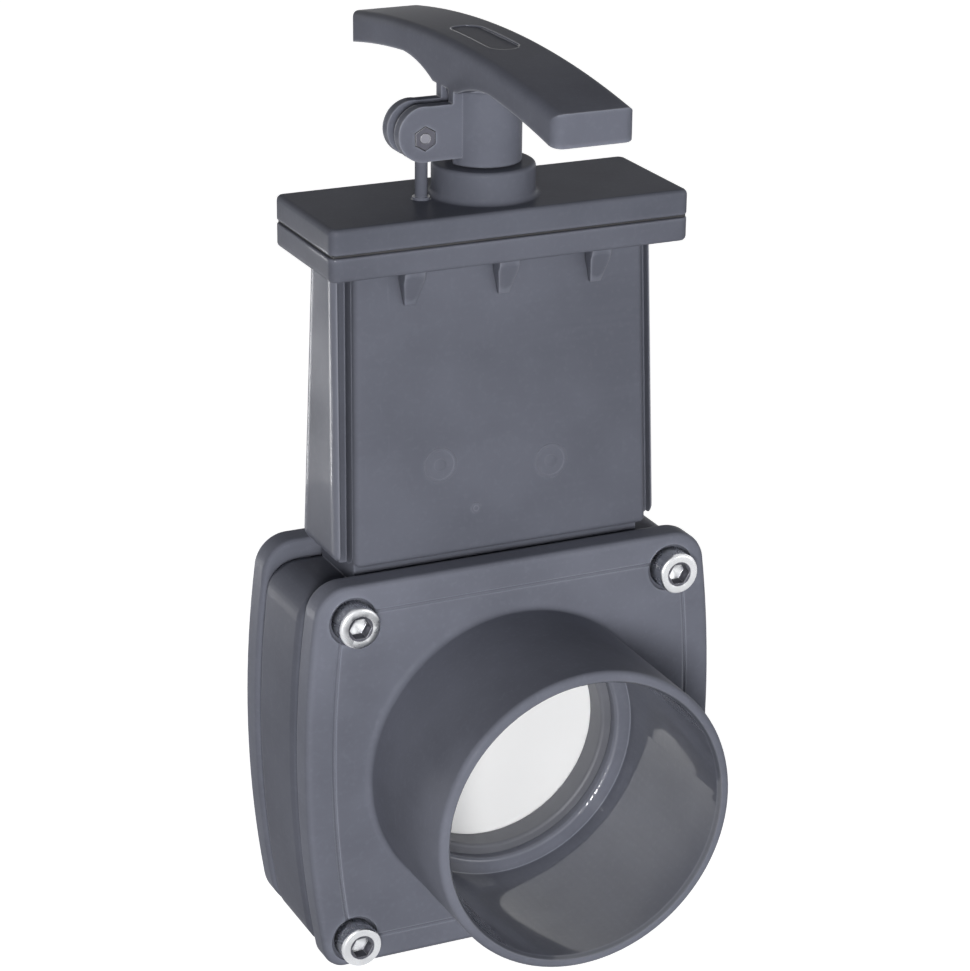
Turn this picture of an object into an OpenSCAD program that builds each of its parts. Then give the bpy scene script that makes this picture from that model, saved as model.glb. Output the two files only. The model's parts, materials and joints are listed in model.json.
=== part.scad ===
// PVC knife gate valve: two flange plates with plain pipe spigots clamp a gate housing
// with a tall neck; a flat gate on a round shaft is lifted by an arched pull handle.
// Frame: X across the valve, Y along the pipe (front is -Y), Z up, floor at Z = 0.
// All sizes in millimetres.

/* [Pipe spigots] */
// Outer diameter of the pipe spigots
spigot_od = 63; // [50:0.5:90]
// Inner diameter of the pipe spigots
spigot_id = 58; // [44:0.5:84]
// Length of each spigot in front of its plate
spigot_len = 34; // [15:0.5:60]
// Rounding of the spigot rim
rim_round = 1.1; // [0.3:0.1:1.2]
// Diameter of the narrow port through each plate
port_d = 51.2; // [40:0.2:56]
// Wall left in the plate behind the wide spigot bore
port_wall = 2.4; // [2:0.1:5]

/* [Body] */
// Height of the bore axis above the floor
axis_h = 41; // [36:0.5:60]
// Widest width of the body
body_w = 90; // [80:0.5:120]
// Height of the plates above the bore axis
plate_rise = 42.2; // [38:0.2:60]
// Thickness of each flange plate
flange_t = 6.4; // [6:0.2:14]
// Thickness of the gate housing between the plates
housing_t = 21.2; // [16:0.2:30]
// Radius of the bowed sides
side_r = 240; // [150:5:600]
// Height of the widest place above the bore axis
wide_rise = 4; // [0:0.5:12]
// Radius of the upper corners
corner_top = 7; // [3:0.5:12]
// Radius of the lower corners of the rear plate and the housing
corner_low = 8; // [3:0.5:14]
// Radius of the lower corners of the front plate
front_corner_low = 4.6; // [3:0.2:14]
// Rounding of the plate edges
plate_round = 1.2; // [0.4:0.1:2]
// Rounding of the housing edges
housing_round = 2.9; // [0.5:0.1:3]
// Drop of the housing shoulder below the plate tops
shoulder_drop = 3.2; // [1:0.1:6]
// Distance of the screws from the widest place of the sides
screw_inset = 10; // [8:0.5:14]
// Distance of the upper screws below the plate tops
screw_drop = 7.2; // [6.5:0.1:12]
// Height of the lower screws above the foot
screw_rise = 6; // [5.5:0.1:12]
// Distance of the engraved line from the edge of the face
line_inset = 5.4; // [3:0.1:8]

/* [Neck] */
// Width of the neck ribs at the top
neck_w = 68.4; // [60:0.2:90]
// Width of the neck ribs at the foot
neck_foot_w = 70.4; // [60:0.2:92]
// Rounding of the neck ribs
rib_round = 2.6; // [1:0.1:3]
// Inset of the neck root behind the rib edges
root_in = 3; // [0:0.1:3]
// Thickness of the neck ribs at the top
rib_top_t = 13.7; // [12:0.1:20]
// Thickness of the neck ribs at the foot
rib_foot_t = 19.7; // [14:0.1:26]
// Width of the neck face at the top
face_top_w = 61.6; // [56:0.2:80]
// Width of the neck face at the foot
face_foot_w = 64; // [56:0.2:80]
// Depth over both neck faces at the top
face_top_t = 17.6; // [15:0.1:26]
// Depth over both neck faces at the foot
face_foot_t = 23; // [18:0.1:30]
// Width of the rib edge left outside each upright groove
rib_lip = 0.8; // [0.6:0.1:2]
// Depth of the upright grooves
groove_deep = 3; // [1:0.1:4]
// Gap between the plate tops and the neck foot
foot_gap = 1.1; // [0.3:0.1:3]
// Height of the underside of the top band above the axis
band_rise = 103.2; // [90:0.2:130]
// Height of the lower band
band_t = 4.8; // [3:0.1:8]

/* [Gate] */
// Thickness of the gate
gate_t = 10; // [4:0.2:12]
// Width of the gate
gate_w = 56.8; // [50:0.2:66]
// Height of the gate above the bore axis when shut
gate_rise = 48; // [40:0.5:60]
// Lift of the gate from shut to open
lift = 53; // [30:1:60]
// Clearance between the gate and the housing walls
gate_gap = 0.4; // [0.3:0.05:1]
// Inner diameter of the seat rings
seat_id = 47; // [38:0.2:50]
// Outer diameter of the seat rings
seat_od = 56.4; // [50:0.2:60]

/* [Shaft] */
// Diameter of the shaft
shaft_d = 8; // [6:0.5:12]
// Diameter of the shaft end in the gate
tang_d = 6; // [4:0.5:8]
// Radial running clearance of the shaft in its bush
run_gap = 0.06; // [0.02:0.01:0.1]
// Radial clearance of pieces fixed to each other
fix_gap = 0.05; // [0.02:0.01:0.2]
// Diameter of the cross pin through gate and shaft
pin_d = 3; // [2:0.5:4]

/* [Cap] */
// Width of cap and top band
cap_w = 76; // [70:0.2:100]
// Depth of cap and top band
cap_d = 29.2; // [22:0.2:50]
// Thickness of the cap plate
cap_t = 5; // [3:0.1:8]
// Thickness of the cap gasket
gasket_t = 0.6; // [0.5:0.1:2]
// Outer diameter of the collar round the shaft
collar_d = 20.5; // [16:0.1:30]
// Height of the collar above the cap
collar_h = 6.3; // [3:0.1:14]
// Diameter of the guide post
post_d = 2.5; // [1.5:0.1:4]
// Distance of the guide post from the shaft
post_at = 13.2; // [11:0.1:20]
// Height of the guide post above the cap
post_h = 8.6; // [4:0.1:9.5]
// Width of a snap hook
hook_w = 4.2; // [3:0.1:6]
// Spacing of the snap hooks
hook_pitch = 19.9; // [12:0.1:24]
// Thickness of a hook where it passes the top band
hook_t = 1.8; // [1:0.1:2.4]
// Reach of the hook nose in front of the hook's back
hook_nose = 3.2; // [2.9:0.1:4]
// Distance of the hooks from the neck face at its top
hook_off = 0.65; // [0.5:0.05:1.5]
// Length of a hook below the top band
hook_len = 7.4; // [4:0.1:10]

/* [Handle] */
// Length of the grip along the pipe
grip_len = 95; // [70:1:120]
// Width of the grip
grip_w = 16.6; // [14:0.2:22]
// Height of the grip top above the hub foot at the middle
grip_top = 24.1; // [20:0.2:40]
// Thickness of the grip at the middle
grip_t = 5.5; // [4:0.1:12]
// Thickness of the grip at its ends
grip_end_t = 6.4; // [4:0.1:10]
// Rise of the arch from the ends to the middle
grip_arch = 3.9; // [1:0.1:8]
// Rounding of the long edges of the grip
grip_round = 2; // [0.5:0.1:3]
// Half length of the deep middle of the grip
web_half = 20; // [12:0.5:30]
// Depth of the grip in its middle, from its top to the hub
web_t = 9.3; // [7:0.1:14]
// Radius of the hollows beside the deep middle
web_r = 36; // [20:1:60]
// Diameter of the hub
hub_d = 15; // [12:0.2:16]
// Distance of the clamp ears from the shaft
ear_at = 14.1; // [13:0.1:20]
// Height of the clamp screw above the hub foot
ear_up = 6.2; // [5:0.1:10]
// Height of the middle of the round ears above the clamp screw
ear_rise = 0.8; // [0:0.1:2]
// Radius of the clamp ears
ear_r = 5.5; // [4:0.1:8]
// Thickness of each clamp ear
ear_t = 2.4; // [2:0.1:5]
// Width of the slit between the ears
slit_w = 3.2; // [2.9:0.1:5]
// Width of the shallow field on the grip
field_w = 6.4; // [3:0.2:9]
// Length of the shallow field between the middles of its round ends
field_len = 16; // [6:0.5:30]

/* [Fasteners] */
// Diameter of the body screws
screw_d = 5; // [4:0.5:6]
// Length of a body screw under its head
screw_len = 40; // [38:1:50]
// Diameter of the head of a body screw
head_d = 8.5; // [7:0.1:10]
// Height of the head of a body screw
head_h = 5; // [3:0.1:6]
// Depth of the recess under each head, washer and nut
head_sink = 1; // [0.4:0.1:2]
// Diameter of the recess round a head
recess_d = 10; // [9:0.1:12]
// Width across the flats of the hex socket in a head
hex_w = 4; // [3:0.1:5]
// Depth of the hex socket in a head
hex_deep = 2.5; // [1:0.1:3]
// Width across the flats of a body nut
nut_w = 8; // [7:0.1:10]
// Height of a body nut
nut_h = 4; // [3:0.1:5]
// Diameter of a washer
washer_d = 10; // [9:0.1:11]
// Thickness of a washer
washer_t = 1; // [0.5:0.1:1.5]
// Diameter of the clamp screw
clamp_d = 2; // [1.6:0.1:3]
// Diameter of the head of the clamp screw
clamp_head_d = 3.8; // [3:0.1:5.5]
// Height of the head of the clamp screw
clamp_head_h = 2; // [1:0.1:3]
// Width across the flats of the clamp nut
clamp_nut_w = 4; // [3.2:0.1:6]
// Height of the clamp nut
clamp_nut_h = 1.6; // [1:0.1:2.4]

/* [Hidden] */
$fa = 3;
$fs = 0.5;
eps = 0.02;
half_t = housing_t / 2 + flange_t;
face_y = half_t;
screw_x = body_w / 2 - screw_inset;
screw_up = plate_rise - screw_drop;
screw_low = axis_h - screw_rise;
tip_y = half_t + spigot_len;
z_top = axis_h + plate_rise;
z_neck = z_top + foot_gap;
z_band = axis_h + band_rise;
z_gasket = z_band + band_t;
z_cap = z_gasket + gasket_t;
z_cap_top = z_cap + cap_t;
z_collar = z_cap_top + collar_h;
z_hub = z_collar + 0.4;
z_gate = axis_h + gate_rise;
gate_r = gate_w / 2;
slot_r = gate_r + gate_gap;
slot_y = gate_t / 2 + gate_gap;
foot_relief = 0.25;
seat_step = 1.7;
seat_foot_r = seat_od / 2 + 2.6;
bore_r = spigot_id / 2;
oring_at = 35.6;
oring_r = 0.97;
screw_r = screw_d / 2;
screw_bore = screw_r + 0.25;
seat_y = face_y - head_sink;
root_t = rib_foot_t - 2.8;
bush_r = 7;
bush_foot_r = 8.6;
z_bush = z_collar - 2.9;
cord = 0.7;
cord_at = 5;
hub_r = hub_d / 2;
zt = z_hub + grip_top;
ear_z = z_hub + ear_up;
ear_out = slit_w / 2 + ear_t;
clamp_r = clamp_d / 2;
nut_face = 0;
pvc_grey = [0.37, 0.38, 0.42];
steel = [0.76, 0.77, 0.79];
black = [0.1, 0.1, 0.11];

// children drawn along local Z are turned so that local Z points to the front (-Y)
module on_axis() { translate([0, 0, axis_h]) rotate([90, 0, 0]) children(); }

// half outline of the body: points from the top middle round to the bottom middle
function half_line(g, up, down, rt, rb) =
  let (w = body_w / 2 - g, R = side_r - g, c = R - w,
    zu = up - g - wide_rise - rt, zb = down - g + wide_rise - rb,
    xt = sqrt((R - rt) * (R - rt) - zu * zu) - c,
    xb = sqrt((R - rb) * (R - rb) - zb * zb) - c,
    at = atan2(zu, xt + c), ab = atan2(zb, xb + c))
  concat(
    [for (k = [0:12]) let (a = 90 + (at - 90) * k / 12) [xt + rt * cos(a), zu + rt * sin(a)]],
    [for (k = [1:17]) let (a = at - (at + ab) * k / 18) [R * cos(a) - c, R * sin(a)]],
    [for (k = [0:12]) let (a = -ab + (ab - 90) * k / 12) [xb + rb * cos(a), -zb + rb * sin(a)]]);

// full outline, mirrored to the other side
function body_line(g, up, down, rt, rb) =
  let (h = half_line(g, up, down, rt, rb), n = len(h))
  concat(h, [for (k = [n - 1:-1:0]) [-h[k][0], h[k][1]]]);

// body slab between y0 and y1 with rounded edges
module slab(y0, y1, up, down, e, rt = corner_top, rb = corner_low) {
  translate([0, y1, axis_h + wide_rise]) rotate([90, 0, 0]) hull() for (k = [0:3]) {
    g = e * (1 - sin(30 * k));
    d = e * (1 - cos(30 * k));
    translate([0, 0, d]) linear_extrude(y1 - y0 - 2 * d)
      polygon(body_line(g, up, down, rt - g, rb - g));
  }
}

// four places of the body screws, drawn towards the front
module at_screws() {
  for (sx = [-1, 1], up = [screw_up, -screw_low])
    translate([sx * screw_x, 0, axis_h + up]) rotate([90, 0, 0]) children();
}

// plate with spigot, drawn as the front one
module flange_raw(low_r) {
  difference() {
    union() {
      slab(-half_t, -housing_t / 2, plate_rise, axis_h, plate_round, corner_top, low_r);
      on_axis() rotate_extrude($fn = 120) difference() {
        translate([0, face_y - 1]) square([spigot_od / 2 + 1.4, spigot_len + 1]);
        translate([spigot_od / 2, face_y + 1.4]) square([5, spigot_len]);
        translate([spigot_od / 2 + 1.4, face_y + 1.4]) circle(1.4, $fn = 24);
        translate([spigot_od / 2 - rim_round, tip_y - rim_round]) difference() {
          square([9, 9]);
          circle(rim_round, $fn = 20);
        }
      }
    }
    // wide bore, narrow port and the lead-in between them
    on_axis() rotate_extrude($fn = 120) difference() {
      translate([0, housing_t / 2 - 1]) square([bore_r, tip_y]);
      translate([port_d / 2, 0]) square([9, housing_t / 2 + port_wall - 0.8]);
      translate([port_d / 2 + 0.8, 0]) square([9, housing_t / 2 + port_wall]);
      translate([port_d / 2 + 0.8, housing_t / 2 + port_wall - 0.8]) circle(0.8, $fn = 16);
    }
    on_axis() translate([0, 0, tip_y - 0.9])
      cylinder(h = 1, r1 = bore_r - eps, r2 = bore_r + 0.6, $fn = 120);
    // groove of the body ring
    on_axis() translate([0, 0, housing_t / 2 - 1]) difference() {
      cylinder(h = 3, r = oring_at + 1.35, $fn = 120);
      translate([0, 0, -1]) cylinder(h = 5, r = oring_at - 1.35, $fn = 120);
    }
    at_screws() cylinder(h = tip_y, r = screw_bore, $fn = 48);
    // shallow line round the outer face
    translate([0, -half_t + 0.4, axis_h + wide_rise]) rotate([90, 0, 0]) linear_extrude(2) difference() {
      polygon(body_line(line_inset, plate_rise, axis_h, 4, 4));
      polygon(body_line(line_inset + 0.7, plate_rise, axis_h, 3.3, 3.3));
      translate([0, -wide_rise]) circle(spigot_od / 2 + 1.2, $fn = 120);
    }
  }
}

module front_flange() {
  color(pvc_grey) difference() {
    flange_raw(front_corner_low);
    at_screws() translate([0, 0, seat_y]) cylinder(h = head_h, r = recess_d / 2, $fn = 64);
  }
}

module rear_flange() {
  color(pvc_grey) mirror([0, 1, 0]) difference() {
    flange_raw(corner_low);
    at_screws() translate([0, 0, seat_y]) cylinder(h = head_h, r = washer_d / 2 + 0.4, $fn = 64);
  }
}

// tapered block with round upright edges, from its foot to its head
module tapered(w0, t0, z0, w1, t1, z1, e) {
  hull() for (sx = [-1, 1], sy = [-1, 1]) {
    translate([sx * (w0 / 2 - e), sy * (t0 / 2 - e), z0 + e]) sphere(r = e, $fn = 24);
    translate([sx * (w1 / 2 - e), sy * (t1 / 2 - e), z1 - 1]) cylinder(h = 1, r = e, $fn = 24);
  }
}

// plate for the two bands at the top, with its own rounding below and above
module band(z0, h, e_low, e_top) {
  r = 1.7;
  hull() for (sx = [-1, 1], sy = [-1, 1], k = [0:3]) let (rise = 1 - cos(30 * k), cut = 1 - sin(30 * k))
    translate([sx * (cap_w / 2 - r), sy * (cap_d / 2 - r), z0]) {
      translate([0, 0, e_low * rise]) cylinder(h = h - e_low * rise - e_top, r = r - e_low * cut, $fn = 24);
      translate([0, 0, e_low]) cylinder(h = h - e_low - e_top * rise, r = r - e_top * cut, $fn = 24);
    }
}

// notch that a hook passes through, drawn as a front one
module hook_notch(z0, h) {
  translate([-hook_w / 2 - 0.3, -hook_t - 0.9, z0]) cube([hook_w + 0.6, hook_t + 1, h]);
}

// places of the six snap hooks, drawn as front ones
module at_hooks() {
  for (m = [0, 1]) mirror([0, m, 0]) for (i = [-1, 0, 1])
    translate([i * hook_pitch, -face_top_t / 2 - hook_off, 0]) children();
}

// upright groove between a rib and the neck face, leaning with the rib
module groove() {
  tall = z_band - z_neck;
  inner = 0.15;
  translate([0, -rib_foot_t / 2, z_neck]) rotate([-atan((rib_foot_t - rib_top_t) / 2 / tall), 0, 0])
    translate([0, groove_deep, 0]) rotate([90, 0, 0]) linear_extrude(groove_deep + 4)
      polygon([[face_foot_w / 2 + inner, -1], [neck_foot_w / 2 - rib_lip, -1],
        [neck_w / 2 - rib_lip, tall + 0.3], [face_top_w / 2 + inner, tall + 0.3]]);
}

module gate_housing() {
  color(pvc_grey) difference() {
    union() {
      slab(-housing_t / 2, housing_t / 2, plate_rise - shoulder_drop, axis_h, housing_round);
      translate([root_in - neck_w / 2, -root_t / 2, z_top - 12])
        cube([neck_w - 2 * root_in, root_t, foot_gap + 12 + rib_round]);
      tapered(neck_foot_w, rib_foot_t, z_neck, neck_w, rib_top_t, z_band + 1, rib_round);
      tapered(face_foot_w, face_foot_t, z_neck, face_top_w, face_top_t, z_band + 1, 1.3);
      band(z_band, band_t, 0.9, 0.3);
    }
    for (mx = [0, 1], my = [0, 1]) mirror([mx, 0, 0]) mirror([0, my, 0]) groove();
    // gate slot with its round foot
    translate([-slot_r, -slot_y, axis_h]) cube([2 * slot_r, 2 * slot_y, 200]);
    on_axis() translate([0, 0, -slot_y]) cylinder(h = 2 * slot_y, r = slot_r + foot_relief, $fn = 120);
    // round openings for the seat rings, stepped for their feet
    on_axis() translate([0, 0, -housing_t]) cylinder(h = 2 * housing_t, r = seat_od / 2 + fix_gap, $fn = 120);
    for (s = [0, 1]) mirror([0, s, 0]) on_axis() translate([0, 0, housing_t / 2 - seat_step])
      cylinder(h = 9, r = seat_foot_r + fix_gap, $fn = 120);
    at_screws() translate([0, 0, -tip_y]) cylinder(h = 2 * tip_y, r = screw_bore, $fn = 48);
    at_hooks() hook_notch(z_band - 1, band_t + 3);
  }
}

module gate() {
  e = 1.6;
  color([0.93, 0.93, 0.92]) difference() {
    union() {
      on_axis() translate([0, 0, -gate_t / 2]) rotate_extrude($fn = 120) difference() {
        square([gate_r, gate_t]);
        translate([gate_r, 0]) rotate(45) square([e * sqrt(2), e * sqrt(2)], center = true);
        translate([gate_r, gate_t]) rotate(45) square([e * sqrt(2), e * sqrt(2)], center = true);
      }
      translate([0, 0, axis_h]) linear_extrude(gate_rise) difference() {
        square([gate_w, gate_t], center = true);
        for (sx = [-1, 1], sy = [-1, 1]) translate([sx * gate_r, sy * gate_t / 2])
          rotate(45) square([e * sqrt(2), e * sqrt(2)], center = true);
      }
    }
    translate([0, 0, z_gate - 18]) cylinder(h = 30, r = tang_d / 2 + fix_gap, $fn = 64);
    translate([0, 0, z_gate - 9]) rotate([90, 0, 0])
      cylinder(h = 40, r = pin_d / 2 + fix_gap, center = true, $fn = 48);
  }
}

module gate_pin() {
  color(steel) translate([0, 0, z_gate - 9]) rotate([90, 0, 0])
    cylinder(h = gate_t - 0.8, r = pin_d / 2, center = true, $fn = 48);
}

// seat ring: foot held under the plate, nose reaching to the gate
module seat_raw() {
  on_axis() rotate_extrude($fn = 120) difference() {
    union() {
      translate([seat_id / 2, gate_t / 2 + 0.3])
        square([(seat_od - seat_id) / 2, (housing_t - gate_t) / 2 - 0.3]);
      translate([seat_id / 2 + 2, housing_t / 2 - seat_step + fix_gap])
        square([seat_foot_r - seat_id / 2 - 2, seat_step - fix_gap]);
    }
    translate([seat_id / 2 + 0.7, housing_t / 2 - 0.7]) difference() {
      translate([-2, 0]) square([2, 2]);
      circle(0.7, $fn = 32);
    }
  }
}

module front_seat() { color([0.55, 0.56, 0.58]) seat_raw(); }
module rear_seat() { color([0.55, 0.56, 0.58]) mirror([0, 1, 0]) seat_raw(); }

module ring_raw() {
  on_axis() translate([0, 0, housing_t / 2 + 1]) rotate_extrude($fn = 120)
    translate([oring_at, 0]) circle(oring_r, $fn = 32);
}

module front_oring() { color(black) ring_raw(); }
module rear_oring() { color(black) mirror([0, 1, 0]) ring_raw(); }

module shaft() {
  color(steel) difference() {
    rotate_extrude($fn = 96) {
      translate([0, z_gate - 17]) square([tang_d / 2, 20]);
      translate([0, z_gate]) square([shaft_d / 2, z_hub + 14 - z_gate]);
      translate([0, z_hub + 13]) square([shaft_d / 2 - 0.8, 1.8]);
    }
    translate([0, 0, z_gate - 9]) rotate([90, 0, 0])
      cylinder(h = 40, r = pin_d / 2 + fix_gap, center = true, $fn = 48);
  }
}

// one snap hook, drawn as a front one on the neck face: a tongue with a pointed wedge nose
module hook() {
  half = hook_w / 2;
  translate([-half, -hook_t, z_band - 1]) cube([hook_w, hook_t, band_t + gasket_t + 2]);
  intersection() {
    translate([-half, 0, z_band]) rotate([90, 0, 90]) linear_extrude(hook_w)
      polygon([[0, -0.2], [-hook_nose, -0.2], [-hook_nose, -1.1], [-0.7, -hook_len], [0, -hook_len]]);
    translate([0, 1, z_band]) rotate([90, 0, 0]) linear_extrude(hook_nose + 2)
      polygon([[-half, 0], [-half, -2.4], [-0.9, -hook_len - 1], [0.9, -hook_len - 1], [half, -2.4], [half, 0]]);
  }
}

module cap() {
  color([0.35, 0.36, 0.4]) difference() {
    union() {
      band(z_cap, cap_t, 0.3, 1);
      rotate_extrude($fn = 128) difference() {
        translate([0, z_cap_top - 1]) square([collar_d / 2 + 1.2, collar_h + 1]);
        translate([collar_d / 2, z_cap_top + 1.2]) square([5, 30]);
        translate([collar_d / 2 + 1.2, z_cap_top + 1.2]) circle(1.2, $fn = 48);
        translate([collar_d / 2 - 0.8, z_collar - 0.8]) difference() {
          square([3, 3]);
          circle(0.8, $fn = 48);
        }
      }
      // guide post on a small foot
      translate([-post_at, 0, 0]) rotate_extrude($fn = 48) {
        translate([0, z_cap_top - 1]) square([post_d / 2, post_h + 1 - post_d / 2]);
        translate([0, z_cap_top - 1]) square([post_d / 2 + 0.5, 1.5]);
        translate([0, z_cap_top + post_h - post_d / 2]) intersection() {
          circle(post_d / 2, $fn = 48);
          square(post_d);
        }
      }
      // stop blocks reaching into the neck
      for (s = [-1, 1]) translate([s * (slot_r - 6) - 5, -slot_y + 0.4, z_gate + lift + 0.4])
        cube([10, 2 * slot_y - 0.8, z_cap + 1 - z_gate - lift - 0.4]);
      at_hooks() hook();
    }
    // stepped seat of the gland bush and the shaft opening
    translate([0, 0, z_cap - 1]) cylinder(h = z_collar - 1.3 - z_cap + 1, r = bush_r + fix_gap, $fn = 96);
    translate([0, 0, z_cap - 1]) cylinder(h = 2.6, r = bush_foot_r + fix_gap, $fn = 96);
    cylinder(h = 400, r = shaft_d / 2 + 0.5, $fn = 96);
  }
}

module cap_gasket() {
  color([0.2, 0.2, 0.23]) difference() {
    translate([0, 0, z_gasket]) linear_extrude(gasket_t) difference() {
      square([cap_w - 1.2, cap_d - 1.2], center = true);
      square([2 * slot_r, 2 * slot_y], center = true);
    }
    at_hooks() hook_notch(z_gasket - 1, 9);
  }
}

module gland_bush() {
  color([0.86, 0.84, 0.78]) rotate_extrude($fn = 96) difference() {
    union() {
      translate([shaft_d / 2 + run_gap, z_cap])
        square([bush_r - shaft_d / 2 - run_gap, z_bush - z_cap]);
      translate([shaft_d / 2 + run_gap, z_cap])
        square([bush_foot_r - shaft_d / 2 - run_gap, 1.55]);
    }
    for (k = [2.9, 6]) translate([0, z_cap + k - 1])
      square([cord_at + cord + 0.08, 2]);
  }
}

module shaft_orings() {
  color(black) for (k = [2.9, 6]) translate([0, 0, z_cap + k])
    rotate_extrude($fn = 96) translate([cord_at, 0]) circle(cord, $fn = 32);
}

module wiper_ring() {
  color(black) rotate_extrude($fn = 96)
    polygon([[shaft_d / 2 + 0.3, z_collar - 1.7], [shaft_d / 2 + 0.9, z_bush + 0.05],
      [bush_r - 0.05, z_bush + 0.05], [bush_r - 0.05, z_collar - 1.4], [shaft_d / 2 + 0.6, z_collar - 1.4]]);
}

// arched grip: a bowed bar with rounded long edges that grows deeper over the hub
module grip() {
  half = grip_len / 2;
  R = (half * half + grip_arch * grip_arch) / (2 * grip_arch);
  under = grip_arch - grip_t + grip_end_t;
  U = (half * half + under * under) / (2 * under);
  z_hollow = zt - grip_t - U + sqrt(U * U - web_half * web_half) - web_r;
  e = grip_round;
  end_r = 2.2;
  deep = grip_arch + grip_end_t + 2;
  intersection() {
    translate([0, 0, zt - R]) rotate([0, 90, 0]) rotate_extrude($fn = 720)
      difference() {
        translate([R - 12, -grip_w / 2]) square([12, grip_w]);
        for (s = [-1, 1]) translate([R - e, s * (grip_w / 2 - e)]) difference() {
          translate([0, s > 0 ? 0 : -e - 1]) square([e + 1, e + 1]);
          circle(e, $fn = 48);
        }
      }
    difference() {
      translate([-grip_w, -half, zt - deep]) cube([2 * grip_w, grip_len, deep + 10]);
      // hollow underside, which leaves the deep middle standing
      difference() {
        translate([-grip_w - 1, 0, zt - grip_t - U]) rotate([0, 90, 0])
          cylinder(h = 2 * grip_w + 2, r = U, $fn = 720);
        difference() {
          translate([-grip_w - 2, -web_half, zt - web_t])
            cube([2 * grip_w + 4, 2 * web_half, web_t]);
          for (s = [-1, 1]) translate([-grip_w - 3, s * web_half, z_hollow]) rotate([0, 90, 0])
            cylinder(h = 2 * grip_w + 6, r = web_r, $fn = 240);
        }
      }
      // round plan corners of the grip ends
      for (sx = [-1, 1], sy = [-1, 1])
        translate([sx * (grip_w / 2 - end_r), sy * (half - end_r), zt - 30]) difference() {
          translate([sx > 0 ? 0 : -4, sy > 0 ? 0 : -4, 0]) cube([4, 4, 40]);
          translate([0, 0, -1]) cylinder(h = 42, r = end_r, $fn = 64);
        }
    }
  }
}

module handle() {
  hub_top = grip_top - web_t;
  fillet = 0.6;
  color([0.34, 0.35, 0.39]) difference() {
    union() {
      grip();
      // hub with a small fillet under the grip
      rotate_extrude($fn = 128) difference() {
        translate([0, z_hub]) square([hub_r + fillet, hub_top + 1]);
        translate([hub_r, z_hub - 1]) square([2, hub_top + 1 - fillet]);
        translate([hub_r + fillet, z_hub + hub_top - fillet]) circle(fillet, $fn = 32);
      }
      for (s = [-1, 1]) translate([0, s > 0 ? ear_out : -slit_w / 2, 0])
        rotate([90, 0, 0]) linear_extrude(ear_t) {
          translate([-ear_at, ear_z + ear_rise]) circle(ear_r, $fn = 96);
          translate([-ear_at, ear_z + ear_rise - ear_r + 0.1]) square([ear_at - 5, 2 * ear_r - 0.2]);
          translate([-grip_w / 2, ear_z]) square([grip_w / 2 - 5, hub_top - ear_up + 1]);
        }
    }
    // shaft bore, slit, screw hole, nut pocket and head pocket
    translate([0, 0, z_hub - 1]) cylinder(h = 16.2, r = shaft_d / 2 + fix_gap, $fn = 96);
    translate([-ear_at - ear_r - 1, -slit_w / 2, z_hub - 1])
      cube([ear_at + ear_r + 1 - 2, slit_w, hub_top]);
    translate([-ear_at, 0, ear_z]) rotate([90, 0, 0])
      cylinder(h = 30, r = clamp_r + 0.15, center = true, $fn = 48);
    translate([-ear_at, -ear_out + clamp_nut_h + nut_face, ear_z]) rotate([90, 0, 0]) rotate(30)
      cylinder(h = 9, r = (clamp_nut_w + 0.3) / sqrt(3), $fn = 6);
    translate([-ear_at, ear_out - 0.8, ear_z]) rotate([-90, 0, 0])
      cylinder(h = 9, r = clamp_head_d / 2 + 0.25, $fn = 48);
    // plain shallow field on the grip
    translate([0, 0, zt - 0.45]) linear_extrude(3) {
      square([field_w, field_len], center = true);
      for (s = [-1, 1]) translate([0, s * field_len / 2]) circle(field_w / 2, $fn = 64);
    }
  }
}

module clamp_screw() {
  color(steel) translate([-ear_at, 0, ear_z]) rotate([-90, 0, 0]) difference() {
    union() {
      translate([0, 0, -ear_out + nut_face])
        cylinder(h = 2 * ear_out - nut_face - 0.8 + eps, r = clamp_r, $fn = 48);
      translate([0, 0, ear_out - 0.8]) cylinder(h = clamp_head_h, r = clamp_head_d / 2, $fn = 64);
    }
    translate([0, 0, ear_out - 0.8 + clamp_head_h / 2]) cylinder(h = 5, r = 1.5 / sqrt(3), $fn = 6);
  }
}

module clamp_nut() {
  color([0.3, 0.3, 0.32]) translate([-ear_at, -ear_out + clamp_nut_h + nut_face, ear_z])
    rotate([90, 0, 0]) difference() {
      rotate(30) cylinder(h = clamp_nut_h, r = clamp_nut_w / sqrt(3), $fn = 6);
      translate([0, 0, -1]) cylinder(h = 9, r = clamp_r + fix_gap, $fn = 48);
    }
}

module flange_screws() {
  head_r = head_d / 2;
  e = 0.5;
  color(steel) at_screws() translate([0, 0, seat_y]) difference() {
    union() {
      translate([0, 0, -screw_len]) cylinder(h = screw_len + eps, r = screw_r, $fn = 48);
      rotate_extrude($fn = 96) difference() {
        square([head_r, head_h]);
        translate([head_r - e, head_h - e]) difference() {
          square(2);
          circle(e, $fn = 32);
        }
      }
    }
    translate([0, 0, head_h - hex_deep]) cylinder(h = head_h, r = hex_w / sqrt(3), $fn = 6);
  }
}

module flange_washers() {
  color(steel) at_screws() translate([0, 0, -seat_y - washer_t]) difference() {
    cylinder(h = washer_t, r = washer_d / 2, $fn = 64);
    translate([0, 0, -1]) cylinder(h = 3, r = screw_r + 0.15, $fn = 48);
  }
}

// hex nuts with a turned chamfer on the outer side
module flange_nuts() {
  lean = 1.6;
  color(steel) at_screws() translate([0, 0, -seat_y - washer_t - nut_h]) difference() {
    intersection() {
      cylinder(h = nut_h, r = nut_w / sqrt(3), $fn = 6);
      translate([0, 0, -2 * lean])
        cylinder(h = nut_h + 2 * lean, r1 = nut_w / 2 - lean, r2 = nut_w / 2 + nut_h + 0.2, $fn = 96);
    }
    translate([0, 0, -1]) cylinder(h = 9, r = screw_r + fix_gap, $fn = 48);
  }
}

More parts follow.
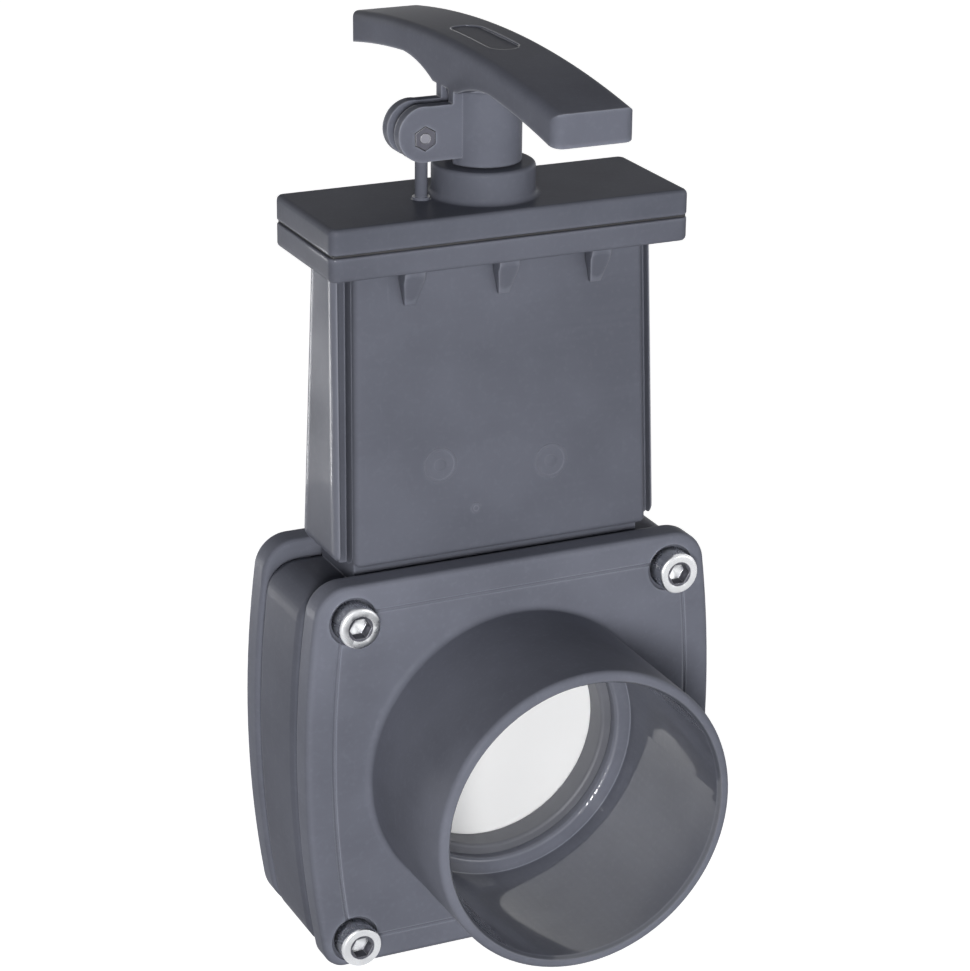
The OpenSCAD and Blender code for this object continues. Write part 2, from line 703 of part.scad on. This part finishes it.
front_flange();
rear_flange();
gate_housing();
gate();
front_seat();
rear_seat();
front_oring();
rear_oring();
shaft();
gate_pin();
cap();
cap_gasket();
gland_bush();
shaft_orings();
wiper_ring();
handle();
clamp_screw();
clamp_nut();
flange_screws();
flange_washers();
flange_nuts();
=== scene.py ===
"""Looks of a PVC knife gate valve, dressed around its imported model."""

import json
import math

import bpy
from mathutils import Matrix, Vector


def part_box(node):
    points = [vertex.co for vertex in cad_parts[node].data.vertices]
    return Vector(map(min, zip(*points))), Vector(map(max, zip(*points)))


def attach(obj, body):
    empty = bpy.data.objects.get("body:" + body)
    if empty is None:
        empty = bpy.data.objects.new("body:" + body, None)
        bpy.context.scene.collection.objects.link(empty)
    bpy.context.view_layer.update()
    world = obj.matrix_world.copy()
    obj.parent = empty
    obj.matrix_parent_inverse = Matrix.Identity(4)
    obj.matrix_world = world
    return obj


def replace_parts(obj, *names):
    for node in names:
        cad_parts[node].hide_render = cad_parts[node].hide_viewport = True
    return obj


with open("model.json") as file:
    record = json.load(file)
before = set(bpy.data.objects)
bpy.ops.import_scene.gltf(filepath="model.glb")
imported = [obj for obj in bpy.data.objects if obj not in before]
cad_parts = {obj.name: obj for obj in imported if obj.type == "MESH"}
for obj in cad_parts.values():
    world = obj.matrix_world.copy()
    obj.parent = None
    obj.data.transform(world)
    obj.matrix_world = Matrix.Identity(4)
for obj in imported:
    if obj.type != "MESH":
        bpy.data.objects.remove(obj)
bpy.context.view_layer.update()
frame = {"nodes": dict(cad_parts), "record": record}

MM = 0.001
BODY = "valve_body"

seat_low, seat_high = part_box("front_seat")
AXIS_Z = (seat_low.z + seat_high.z) / 2
PLATE_FRONT_Y = -17.0 * MM
SCREW_AT = 35.0 * MM


# Shader maths

class Value:
    """A node socket that takes part in plain arithmetic."""

    def __init__(self, shader, socket):
        self.shader = shader
        self.socket = socket

    def _math(self, operation, first, second):
        sockets = {0: first, 1: second}
        return self.shader.node("ShaderNodeMath", {"operation": operation}, sockets)

    def __add__(self, other):
        return self._math("ADD", self, other)

    def __sub__(self, other):
        return self._math("SUBTRACT", self, other)

    def __rsub__(self, other):
        return self._math("SUBTRACT", other, self)

    def __mul__(self, other):
        return self._math("MULTIPLY", self, other)

    def __pow__(self, other):
        return self._math("POWER", self, other)

    __radd__ = __add__
    __rmul__ = __mul__

    def within(self, low, high):
        """0 below low, 1 above high and smooth between them."""
        settings = {"interpolation_type": "SMOOTHSTEP"}
        return self.shader.node("ShaderNodeMapRange", settings, {0: self, 1: low, 2: high})


class Shader:
    """One node material or world, with a single method that makes its nodes."""

    def __init__(self, owner):
        owner.use_nodes = True
        self.owner = owner
        self.tree = owner.node_tree
        self.tree.nodes.clear()

    def node(self, kind, settings=None, sockets=None, out=0):
        """Makes a node and returns one output, or the list of all of them if out is None."""
        made = self.tree.nodes.new(kind)
        for name, setting in (settings or {}).items():
            setattr(made, name, setting)
        for key, value in (sockets or {}).items():
            if isinstance(value, Value):
                self.tree.links.new(value.socket, made.inputs[key])
            else:
                made.inputs[key].default_value = value
        if out is None:
            return [Value(self, socket) for socket in made.outputs]
        return Value(self, made.outputs[out])

    def noise(self, place, scale, detail=2.0, roughness=0.5, distortion=0.0):
        sockets = {"Vector": place, "Scale": scale, "Detail": detail,
                   "Roughness": roughness, "Distortion": distortion}
        return self.node("ShaderNodeTexNoise", None, sockets)

    def stretched(self, place, scale, turn=(0.0, 0.0, 0.0)):
        """The place drawn out along its axes, for streaks and lines."""
        return self.node("ShaderNodeMapping", None,
                         {"Vector": place, "Scale": scale, "Rotation": turn})

    def blend(self, factor, color_a, color_b):
        sockets = {0: factor, 6: color_a, 7: color_b}
        return self.node("ShaderNodeMix", {"data_type": "RGBA"}, sockets, out=2)

    def bump(self, height, depth, normal, strength):
        sockets = {"Strength": strength, "Distance": depth, "Height": height, "Normal": normal}
        return self.node("ShaderNodeBump", None, sockets)

    def surface(self, sockets):
        shader = self.node("ShaderNodeBsdfPrincipled", None, sockets)
        self.node("ShaderNodeOutputMaterial", None, {"Surface": shader}, out=None)
        return self.owner


def material(name):
    return Shader(bpy.data.materials.new(name))


def rgb(red, green, blue):
    return (red, green, blue, 1.0)


def soft_edges(shader, radius):
    """The normal rounded over edges, and a mask that is 1 along outer and inner edges."""
    rounded = shader.node("ShaderNodeBevel", {"samples": 8}, {"Radius": radius})
    flat = shader.node("ShaderNodeNewGeometry", out="Normal")
    likeness = shader.node("ShaderNodeVectorMath", {"operation": "DOT_PRODUCT"},
                           {0: rounded, 1: flat}, out="Value")
    return rounded, (1 - likeness).within(0.01, 0.2)


def creases(shader, reach, normal):
    """1 deep in seams, grooves and corners, 0 on open faces."""
    sockets = {"Distance": reach, "Normal": normal}
    open_part = shader.node("ShaderNodeAmbientOcclusion", {"samples": 8}, sockets, out="AO")
    return (1 - open_part).within(0.25, 0.85)


def ridges(shader, reach):
    """1 along outer edges, also the rounded ones, 0 on open faces."""
    settings = {"samples": 8, "inside": True}
    sockets = {"Distance": reach}
    solid = shader.node("ShaderNodeAmbientOcclusion", settings, sockets, out="AO")
    return (1 - solid).within(0.15, 0.6)


def upright(shader):
    """1 on upright faces, 0 on level ones."""
    flat = shader.node("ShaderNodeNewGeometry", out="Normal")
    return 1 - shader.node("ShaderNodeSeparateXYZ", None, {0: flat}, out="Z") ** 2


def bore_masks(shader, place, radius):
    """1 inside the pipe's radius, and 1 on the wall of the wide bore alone."""
    split = shader.node("ShaderNodeSeparateXYZ", None, {0: place}, out=None)
    across, _along, up = split
    off_axis = (across ** 2 + (up - AXIS_Z) ** 2) ** 0.5
    inside = 1 - off_axis.within(radius - 0.1 * MM, radius + 0.1 * MM)
    return inside, inside * off_axis.within(radius - 0.8 * MM, radius - 0.4 * MM)


# Finishes

def moulded_pvc(name, shade, roughness=0.42, polished_and_shaded_bore=0.0, ridge_highlight=0.45):
    """Satin grey moulding: soft clouds, fine grain, flow lines, edges lightened partly as wear and
    partly as painted highlight, painted highlights along outer ridges and painted shade in creases.

    The bore of the pipe, where the mould core was polished, gets a glossy coat, and the wall of its
    wide part gets painted shade."""
    s = material(name)
    place = s.node("ShaderNodeTexCoord", out="Object")
    rounded, edge = soft_edges(s, 0.6 * MM)
    crease = creases(s, 3.0 * MM, rounded) * upright(s)
    ridge = ridges(s, 1.4 * MM) * ridge_highlight
    clouds = s.noise(place, scale=34.0, detail=3.0, roughness=0.55)
    speckle = s.noise(place, scale=900.0)
    grain = s.noise(place, scale=2600.0, roughness=0.6)
    peel = s.noise(place, scale=260.0, detail=1.0)
    flow_place = s.stretched(place, (14.0, 14.0, 160.0), turn=(0.2, 0.1, 0.0))
    flow = s.noise(flow_place, scale=3.0, distortion=0.6)
    scuff_place = s.stretched(place, (1400.0, 1400.0, 60.0), turn=(0.5, 0.9, 0.3))
    scuffs = s.noise(scuff_place, scale=1.0)
    patches = s.noise(place, scale=55.0)
    rubbed = scuffs.within(0.62, 0.78) * patches.within(0.5, 0.68)
    dark = rgb(*(0.9 * tone for tone in shade))
    pale = rgb(*(1.1 * tone for tone in shade))
    # Lighter tone for wear, flecks and painted highlights on edges and ridges
    wear_and_highlight = rgb(*(1.7 * tone + 0.01 for tone in shade))
    # Darker tone for painted shade in creases and on the bore wall
    painted_shade = rgb(*(0.3 * tone for tone in shade))
    base = s.blend(clouds.within(0.3, 0.7), dark, pale)
    base = s.blend(flow.within(0.45, 0.75) * 0.2, base, pale)
    base = s.blend(speckle.within(0.5, 0.75) * 0.08, base, wear_and_highlight)
    base = s.blend(rubbed * 0.14, base, wear_and_highlight)
    # Painted highlight: the base lightens along outer and rounded ridges
    base = s.blend(ridge, base, wear_and_highlight)
    # Edges lighten partly as wear and partly as painted highlight
    base = s.blend(edge * 0.7, base, wear_and_highlight)
    # Painted shade: upright faces darken in creases, seams and grooves
    base = s.blend(crease * 0.6, base, painted_shade)
    gloss = roughness + (clouds - 0.5) * 0.16 + rubbed * 0.12 - edge * 0.06 + crease * 0.1
    relief = s.bump(peel, 0.02 * MM, rounded, strength=0.5)
    relief = s.bump(grain, 0.012 * MM, relief, strength=0.6)
    coat = edge * 0.9 + ridge * 0.4 + clouds.within(0.4, 0.8) * 0.04
    if polished_and_shaded_bore:
        inside, wall = bore_masks(s, place, polished_and_shaded_bore)
        # Painted shade on the wall of the wide bore
        base = s.blend(wall * 0.6, base, painted_shade)
        coat = coat + inside
    return s.surface({"Base Color": base, "Roughness": gloss, "Normal": relief,
                      "Specular IOR Level": 0.01, "Coat Weight": coat,
                      "Coat Roughness": 0.06})


def sheet_plastic(name, shade, roughness=0.38):
    """Smooth pale plastic with faint machining lines."""
    s = material(name)
    place = s.node("ShaderNodeTexCoord", out="Object")
    rounded, edge = soft_edges(s, 0.35 * MM)
    lines = s.noise(s.stretched(place, (30.0, 30.0, 2600.0)), scale=1.0)
    clouds = s.noise(place, scale=60.0, detail=3.0)
    smear = clouds.within(0.45, 0.72)
    grey = rgb(*(0.9 * tone for tone in shade))
    base = s.blend(smear * 0.15, rgb(*shade), grey)
    base = s.blend(edge * 0.2, base, grey)
    gloss = roughness + (lines - 0.5) * 0.18 + smear * 0.06
    return s.surface({"Base Color": base, "Roughness": gloss,
                      "Normal": s.bump(lines, 0.006 * MM, rounded, strength=0.5)})


def moulded_rubber(name, shade, roughness=0.62):
    """Matt rubber with a dusty bloom and fine grain."""
    s = material(name)
    place = s.node("ShaderNodeTexCoord", out="Object")
    rounded, edge = soft_edges(s, 0.25 * MM)
    bloom = s.noise(place, scale=90.0, detail=3.0)
    grain = s.noise(place, scale=3200.0)
    dusty = rgb(*(tone * 1.3 + 0.02 for tone in shade))
    base = s.blend(bloom.within(0.42, 0.7) * 0.5, rgb(*shade), dusty)
    base = s.blend(edge * 0.3, base, dusty)
    return s.surface({"Base Color": base, "Roughness": roughness + (bloom - 0.5) * 0.2,
                      "Normal": s.bump(grain, 0.02 * MM, rounded, strength=0.6)})


POLISHED = rgb(0.82, 0.83, 0.85)
PAINTED_CREASE_SHADE = rgb(0.06, 0.06, 0.07)


def worked_steel(name, shade, roughness, lines_along):
    """Bright metal with fine tool lines, smudges, polished edges and painted shade in creases."""
    s = material(name)
    place = s.node("ShaderNodeTexCoord", out="Object")
    rounded, edge = soft_edges(s, 0.2 * MM)
    lines = s.noise(s.stretched(place, lines_along), scale=1.0)
    smudge = s.noise(place, scale=240.0, detail=3.0)
    dull = rgb(*(0.78 * tone for tone in shade))
    base = s.blend(smudge.within(0.4, 0.7) * 0.6, rgb(*shade), dull)
    base = s.blend(edge * 0.5, base, POLISHED)
    # Painted shade: the metal darkens in creases and corners
    base = s.blend(creases(s, 1.6 * MM, rounded) * 0.6, base, PAINTED_CREASE_SHADE)
    gloss = roughness + (lines - 0.5) * 0.2 + smudge.within(0.45, 0.75) * 0.1
    return s.surface({"Base Color": base, "Metallic": 1.0, "Roughness": gloss,
                      "Normal": s.bump(lines, 0.006 * MM, rounded, strength=0.5)})


BORE_R = 29.65 * MM
HOUSING_SHADE = (0.122, 0.128, 0.157)
SHAFT_LINES = (60.0, 60.0, 3000.0)
SCREW_LINES = (900.0, 300.0, 900.0)
FINISHES = {
    "body_pvc": moulded_pvc("body_pvc", (0.158, 0.166, 0.202), 0.4, BORE_R),
    "housing_pvc": moulded_pvc("housing_pvc", HOUSING_SHADE),
    "mark_pvc": moulded_pvc("mark_pvc", HOUSING_SHADE, ridge_highlight=0.08),
    "cap_pvc": moulded_pvc("cap_pvc", (0.112, 0.118, 0.145), 0.38),
    "handle_pvc": moulded_pvc("handle_pvc", (0.132, 0.139, 0.171), 0.38),
    "gate_plastic": sheet_plastic("gate_plastic", (0.96, 0.96, 0.955)),
    "bush_plastic": sheet_plastic("bush_plastic", (0.72, 0.69, 0.62)),
    "seat_rubber": moulded_rubber("seat_rubber", (0.13, 0.134, 0.152), 0.5),
    "ring_rubber": moulded_rubber("ring_rubber", (0.014, 0.014, 0.016)),
    "gasket_rubber": moulded_rubber("gasket_rubber", (0.016, 0.016, 0.019)),
    "shaft_steel": worked_steel("shaft_steel", (0.6, 0.61, 0.63), 0.24, SHAFT_LINES),
    "screw_steel": worked_steel("screw_steel", (0.66, 0.67, 0.69), 0.27, SCREW_LINES),
    "nut_steel": worked_steel("nut_steel", (0.1, 0.1, 0.12), 0.45, SCREW_LINES),
    "dull_steel": worked_steel("dull_steel", (0.22, 0.22, 0.25), 0.4, SCREW_LINES),
}
# Nodes whose finish isn't the one of their slot
NODE_FINISHES = {"gate_housing": "housing_pvc", "clamp_screw": "dull_steel"}


def dress_nodes():
    slot_of = {part["node"]: part["material_slot"] for part in frame["record"]["subparts"]}
    for name, piece in frame["nodes"].items():
        for slot in piece.material_slots:
            slot.material = FINISHES[NODE_FINISHES.get(name, slot_of[name])]


# Pieces that scene.py adds

def turned(rows, columns, turn, hollow=False):
    """Vertices and faces of a closed form from rows of (radius, height) round local Z.

    A radius is a number or a function of the angle and the height. A hollow form is a
    ring whose last row joins the first."""
    points = []
    faces = []
    for radius, height in rows:
        for k in range(columns):
            angle = 2 * math.pi * k / columns
            size = radius(angle, height) if callable(radius) else radius
            points.append(turn @ Vector((size * math.cos(angle), size * math.sin(angle), height)))
    for row in range(len(rows) if hollow else len(rows) - 1):
        low = row * columns
        high = (row + 1) % len(rows) * columns
        for k in range(columns):
            after = (k + 1) % columns
            faces.append((low + k, low + after, high + after, high + k))
    if not hollow:
        last = (len(rows) - 1) * columns
        faces.append(tuple(reversed(range(columns))))
        faces.append(tuple(range(last, last + columns)))
    return points, faces


def add_piece(name, parts, slot, body, finish=None):
    """Joins (points, faces) parts into one mesh object that rides on a body."""
    points = []
    faces = []
    for part_points, part_faces in parts:
        start = len(points)
        points.extend(part_points)
        faces.extend(tuple(start + k for k in face) for face in part_faces)
    mesh = bpy.data.meshes.new(name)
    mesh.from_pydata(points, [], faces)
    mesh.validate()
    mesh.shade_smooth()
    mesh.set_sharp_from_angle(angle=math.radians(32))
    piece = bpy.data.objects.new(name, mesh)
    bpy.context.scene.collection.objects.link(piece)
    mesh.materials.append(FINISHES[finish or slot])
    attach(piece, body)
    return piece


# Socket head screw, M5; heights run along its axis, from the middle of the valve
HEAD_R = 4.25 * MM
HEAD_FOOT = 16.0 * MM
HEAD_TOP = HEAD_FOOT + 5.0 * MM
HEAD_ROUND = 0.5 * MM
KNURL_RIDGES = 52
KNURL_DEEP = 0.09 * MM
SHANK_R = 2.5 * MM
SHANK_LEN = 40.0 * MM
SOCKET_FLATS = 4.0 * MM
SOCKET_FLOOR = HEAD_TOP - 2.5 * MM
PITCH = 0.8 * MM
THREAD_R = SHANK_R - 0.02 * MM
THREAD_DEEP = 0.4 * MM
THREAD_LEN = 9.6 * MM
ROWS_A_TURN = 8


def hex_grown(extra):
    """Radius of the hexagonal socket grown all round, as a function of the angle."""
    def radius(angle, _height):
        sector = math.pi / 3
        return SOCKET_FLATS / 2 / math.cos((angle % sector) - sector / 2) + extra
    return radius


def knurl(angle, _height):
    """Head radius with fine upright ridges."""
    return HEAD_R - KNURL_DEEP * (0.5 - 0.5 * math.cos(KNURL_RIDGES * angle))


def thread(angle, height):
    """Radius of the screw thread: a rounded ridge that climbs one pitch a turn."""
    phase = (height / PITCH - angle / (2 * math.pi)) % 1.0
    return THREAD_R - THREAD_DEEP * (1 - abs(2 * phase - 1))


def body_screw(turn):
    """Socket head screw along local Z: thread, shank, knurled head and hex socket."""
    tip = HEAD_FOOT - SHANK_LEN
    steps = round(THREAD_LEN / PITCH * ROWS_A_TURN)
    rows = [(0.4 * MM, tip), (1.9 * MM, tip)]
    rows += [(thread, tip + 0.45 * MM + THREAD_LEN * k / steps) for k in range(steps)]
    rows += [(SHANK_R, tip + THREAD_LEN + 0.7 * MM), (SHANK_R, HEAD_FOOT),
             (HEAD_R - 0.15 * MM, HEAD_FOOT), (HEAD_R, HEAD_FOOT + 0.15 * MM),
             (HEAD_R, HEAD_FOOT + 0.6 * MM), (knurl, HEAD_FOOT + 0.7 * MM),
             (knurl, HEAD_TOP - 1.1 * MM), (HEAD_R, HEAD_TOP - 1.0 * MM)]
    rows += [(HEAD_R - HEAD_ROUND * (1 - math.cos(a)), HEAD_TOP - HEAD_ROUND * (1 - math.sin(a)))
             for a in (0.0, 0.4, 0.8, 1.2, 1.57)]
    rows += [(2.62 * MM, HEAD_TOP), (hex_grown(0.08 * MM), HEAD_TOP - 0.12 * MM),
             (hex_grown(0.0), HEAD_TOP - 0.3 * MM), (hex_grown(0.0), SOCKET_FLOOR),
             (1.7 * MM, SOCKET_FLOOR - 0.05 * MM), (0.1 * MM, SOCKET_FLOOR - 0.7 * MM)]
    return turned(rows, 4 * KNURL_RIDGES, turn)


def socket_shade_sheet(turn):
    """Thin dark sheet of painted shade on the chamfer and the walls of the hex socket."""
    rows = [(2.66 * MM, HEAD_TOP + 0.004 * MM), (hex_grown(0.04 * MM), HEAD_TOP - 0.09 * MM),
            (hex_grown(-0.04 * MM), HEAD_TOP - 0.28 * MM),
            (hex_grown(-0.04 * MM), SOCKET_FLOOR - 0.1 * MM),
            (3.0 * MM, SOCKET_FLOOR - 0.1 * MM), (3.0 * MM, HEAD_TOP - 0.4 * MM)]
    return turned(rows, 96, turn, hollow=True)


def add_body_screws():
    """The four screws and the painted shade sheets in their sockets, in place of the plain CAD
    screws.
    """
    toward_front = Matrix.Rotation(math.radians(90), 4, "X")
    screws = []
    shade_sheets = []
    for across in (-SCREW_AT, SCREW_AT):
        for up in (-SCREW_AT, SCREW_AT):
            turn = Matrix.Translation((across, 0.0, AXIS_Z + up)) @ toward_front
            screws.append(body_screw(turn))
            shade_sheets.append(socket_shade_sheet(turn))
    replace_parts(add_piece("body_screws", screws, "screw_steel", BODY), "flange_screws")
    # Dark sheets of painted shade lining the hex sockets
    add_piece("socket_shade_sheets", shade_sheets, "nut_steel", BODY)


# Plain moulding marks on the neck, in mm: place across and up, radius of the ring and of its middle
NECK_MARKS = ((10.4, 100.8, 3.6, 1.2), (-13.7, 103.3, 3.6, 1.2), (-6.1, 93.3, 1.2, 0.5))
# The flat front of the neck starts here and leans back
NECK_FOOT_Z = 84.3 * MM
NECK_FOOT_Y = -11.5 * MM
NECK_LEAN = math.radians(2.54)


def mould_ring(across, up, ring_r, middle_r):
    """Low raised ring with a raised middle, standing on the leaning front of the neck."""
    front = NECK_FOOT_Y + (up * MM - NECK_FOOT_Z) * math.tan(NECK_LEAN)
    place = Matrix.Translation((across * MM, front, up * MM))
    turn = place @ Matrix.Rotation(math.radians(90) - NECK_LEAN, 4, "X")
    profile = ((ring_r, -0.3), (ring_r, 0.14), (ring_r - 0.12, 0.22), (ring_r - 0.5, 0.22),
               (ring_r - 0.62, 0.14), (ring_r - 0.66, 0.05), (middle_r + 0.1, 0.05),
               (middle_r, 0.14), (middle_r - 0.1, 0.2), (0.05, 0.2))
    return turned([(radius * MM, height * MM) for radius, height in profile], 48, turn)


def add_neck_marks():
    marks = [mould_ring(*mark) for mark in NECK_MARKS]
    add_piece("mould_marks", marks, "body_pvc", BODY, "mark_pvc")


# Stage, light and camera

def direction(azimuth, elevation):
    """Unit vector from the object to a viewer: azimuth 0 is the front, negative to the left."""
    a = math.radians(azimuth)
    e = math.radians(elevation)
    return Vector((math.sin(a) * math.cos(e), -math.cos(a) * math.cos(e), math.sin(e)))


# Name, azimuth, elevation, distance, diameter, power
LAMPS = (
    ("key", -24.0, 11.0, 0.9, 0.24, 6.6),
    ("left_fill", -146.0, -13.0, 0.3, 0.1, 0.46),
    ("right_fill", 40.0, 5.0, 1.6, 0.9, 5.0),
    ("back_fill", 122.0, 3.0, 1.6, 0.9, 4.2),
    ("rear_fill", -165.0, 5.0, 1.6, 0.9, 3.6),
)
LIT_POINT = Vector((0.0, 0.0, 0.09))


def add_light(name, azimuth, elevation, distance, size, power):
    data = bpy.data.lights.new(name, "AREA")
    data.shape = "DISK"
    data.size = size
    data.energy = power
    lamp = bpy.data.objects.new(name, data)
    bpy.context.scene.collection.objects.link(lamp)
    lamp.location = LIT_POINT + direction(azimuth, elevation) * distance
    lamp.rotation_euler = (LIT_POINT - lamp.location).to_track_quat("-Z", "Y").to_euler()


def background_rays(s):
    """1 for rays that show the background: from the camera, in glossy and in clear things."""
    kinds = ("Is Camera Ray", "Is Glossy Ray", "Is Transmission Ray")
    camera, glossy, clear = (s.node("ShaderNodeLightPath", out=kind) for kind in kinds)
    return camera + glossy + clear


HORIZON = rgb(0.3, 0.3, 0.31)
OVERHEAD = rgb(0.02, 0.02, 0.023)


def make_world():
    """A white studio for the camera and mirrored rays, dim light for all others."""
    world = bpy.data.worlds.new("studio")
    bpy.context.scene.world = world
    s = Shader(world)
    up = s.node("ShaderNodeSeparateXYZ", None,
                {0: s.node("ShaderNodeTexCoord", out="Generated")}, out="Z")
    fill = s.blend(up.within(0.0, 0.5), HORIZON, OVERHEAD)
    color = s.blend(background_rays(s), fill, rgb(1.0, 1.0, 1.0))
    back = s.node("ShaderNodeBackground", None, {"Color": color, "Strength": 1.0})
    s.node("ShaderNodeOutputWorld", None, {"Surface": back}, out=None)


FLOOR_HALF = 4.0
FLOOR_DROP = 0.4 * MM


def add_floor():
    mesh = bpy.data.meshes.new("floor")
    half = FLOOR_HALF
    corners = [(-half, -half, 0), (half, -half, 0), (half, half, 0), (-half, half, 0)]
    mesh.from_pydata([Vector(c) for c in corners], [], [(0, 1, 2, 3)])
    floor = bpy.data.objects.new("floor", mesh)
    floor.location.z = -FLOOR_DROP
    bpy.context.scene.collection.objects.link(floor)
    s = material("floor_white")
    glow = s.blend(background_rays(s), rgb(0.0, 0.0, 0.0), rgb(0.9, 0.9, 0.9))
    mesh.materials.append(s.surface({
        "Base Color": rgb(0.5, 0.5, 0.5), "Roughness": 0.9,
        "Emission Color": glow, "Emission Strength": 1.0}))


IMAGE_WIDTH = 970
FOCAL_PIXELS = 3110.4
CAMERA_AZIMUTH = -25.085
CAMERA_ELEVATION = 20.804
CAMERA_ROLL = 0.588
CAMERA_DISTANCE = 609.06 * MM
CAMERA_TARGET = Vector((-6.887 * MM, PLATE_FRONT_Y, AXIS_Z + 59.201 * MM))


def add_camera():
    data = bpy.data.cameras.new("camera")
    data.sensor_fit = "HORIZONTAL"
    data.sensor_width = 36.0
    data.lens = FOCAL_PIXELS * data.sensor_width / IMAGE_WIDTH
    data.clip_start = 0.02
    camera = bpy.data.objects.new("camera", data)
    bpy.context.scene.collection.objects.link(camera)
    back = direction(CAMERA_AZIMUTH, CAMERA_ELEVATION)
    a = math.radians(CAMERA_AZIMUTH)
    right = Vector((math.cos(a), math.sin(a), 0.0))
    up = back.cross(right)
    roll = math.radians(CAMERA_ROLL)
    turned_right = math.cos(roll) * right + math.sin(roll) * up
    turned_up = math.cos(roll) * up - math.sin(roll) * right
    pose = Matrix((turned_right, turned_up, back)).transposed().to_4x4()
    pose.translation = CAMERA_TARGET + back * CAMERA_DISTANCE
    camera.matrix_world = pose
    bpy.context.scene.camera = camera


def light_studio():
    view = bpy.context.scene.view_settings
    view.view_transform = "Standard"
    make_world()
    add_floor()
    for lamp in LAMPS:
        add_light(*lamp)


add_camera()
dress_nodes()
add_body_screws()
add_neck_marks()
light_studio()
